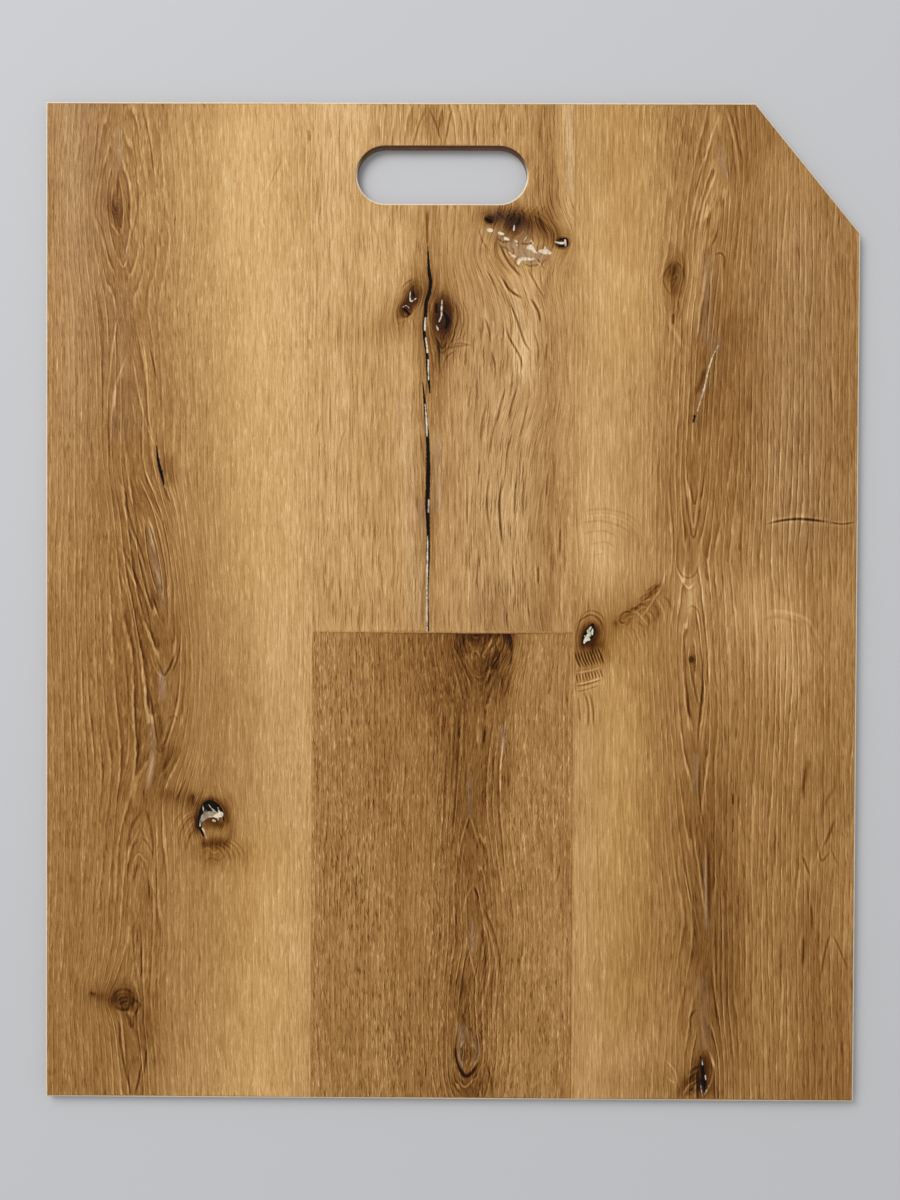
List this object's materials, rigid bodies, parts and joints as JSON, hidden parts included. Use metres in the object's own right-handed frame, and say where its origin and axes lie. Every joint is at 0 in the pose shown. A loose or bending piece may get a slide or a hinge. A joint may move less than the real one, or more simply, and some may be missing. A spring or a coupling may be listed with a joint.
{
  "type": "vinyl plank sample board",
  "caption": "Oak-look vinyl floor planks bonded edge to edge on a fibreboard carrier, with a clipped corner and a routed hand slot for carrying.",
  "frame": {"origin": "middle of the panel's rectangle, on the carrier's underside", "axes": "+X across the planks, +Y along the planks towards the hand slot, +Z out of the oak-look face"},
  "size_m": [0.57, 0.7, 0.0085],
  "materials": {
    "fibreboard": "matte",
    "honey_oak_vinyl": "matte",
    "knotty_oak_vinyl": "matte",
    "brown_oak_vinyl": "matte",
    "amber_oak_vinyl": "matte"
  },
  "bodies": {
    "root": {"carrier_board": "fibreboard", "left_plank": "honey_oak_vinyl", "upper_centre_plank": "knotty_oak_vinyl", "lower_centre_plank": "brown_oak_vinyl", "right_plank": "amber_oak_vinyl"}
  },
  "joints": []
}
